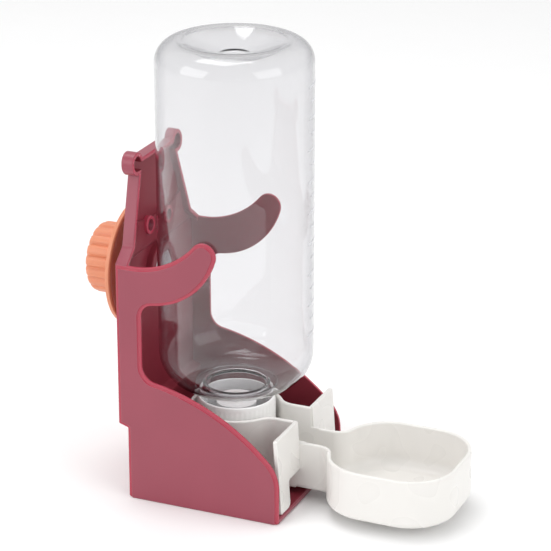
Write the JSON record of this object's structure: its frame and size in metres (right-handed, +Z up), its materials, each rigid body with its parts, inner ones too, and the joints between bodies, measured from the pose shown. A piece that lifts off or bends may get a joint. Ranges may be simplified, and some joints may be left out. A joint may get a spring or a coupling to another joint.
{
  "type": "rabbit water bottle",
  "caption": "Upturned clear bottle in a clamp-on bracket, feeding a drinking bowl on a slide-in tray through a sprung valve in its screw cap.",
  "frame": {"origin": "centre of the footprint, at the underside of the bracket's base", "axes": "+Z up along the bottle, -Y towards the drinking bowl, +Y towards the clamp knob, X across the bracket"},
  "size_m": [0.075, 0.1778, 0.2092],
  "materials": {
    "bracket": "satin",
    "knob": "satin",
    "white": "satin",
    "clear": "gloss",
    "steel": "satin",
    "silicone": "matte"
  },
  "bodies": {
    "bracket": {"bracket_back": "bracket", "bracket_side_left": "bracket", "bracket_side_right": "bracket", "bracket_floor": "bracket", "clamp_screw": "steel"},
    "clamp_disc": {"clamp_disc": "knob"},
    "knob": {"knob": "knob", "knob_nut": "steel"},
    "tray": {"tray_cup": "white", "tray_channel": "white", "tray_bowl": "white"},
    "cap": {"cap": "white", "valve_cage": "white", "valve_spring": "steel"},
    "plunger": {"valve_plunger": "white", "valve_seal": "silicone"},
    "gasket": {"cap_gasket": "silicone"},
    "bottle": {"bottle": "clear"}
  },
  "joints": [
    {"name": "clamp_slide", "type": "slide", "parent": "bracket", "child": "clamp_disc", "axis": [0, 1, 0], "range_m": [-0.006, 0.004]},
    {"name": "clamp_turn", "type": "hinge", "parent": "clamp_disc", "child": "knob", "pos_m": [0, 0.0806, 0.0994], "axis": [0, 1, 0], "range_deg": [-1728, 1152]},
    {"name": "tray_slide", "type": "slide", "parent": "bracket", "child": "tray", "axis": [0, -1, 0], "range_m": [0, 0.08]},
    {"name": "bottle_lift", "type": "slide", "parent": "tray", "child": "cap", "axis": [0, 0, 1], "range_m": [0, 0.15]},
    {"name": "valve_close", "type": "slide", "parent": "cap", "child": "plunger", "axis": [0, 0, -1], "range_m": [0, 0.003], "deforming": ["valve_spring"]},
    {"name": "bottle_turn", "type": "hinge", "parent": "cap", "child": "gasket", "pos_m": [0, 0.0206, 0.0255], "axis": [0, 0, 1], "range_deg": [0, 450]},
    {"name": "bottle_off", "type": "slide", "parent": "gasket", "child": "bottle", "axis": [0, 0, 1], "range_m": [0, 0.15]}
  ],
  "couplings": [
    {"joint": "clamp_slide", "follows": "clamp_turn", "m_per_rad": 0.00019894},
    {"joint": "valve_close", "follows": "bottle_lift", "ratio": 0.02}
  ]
}
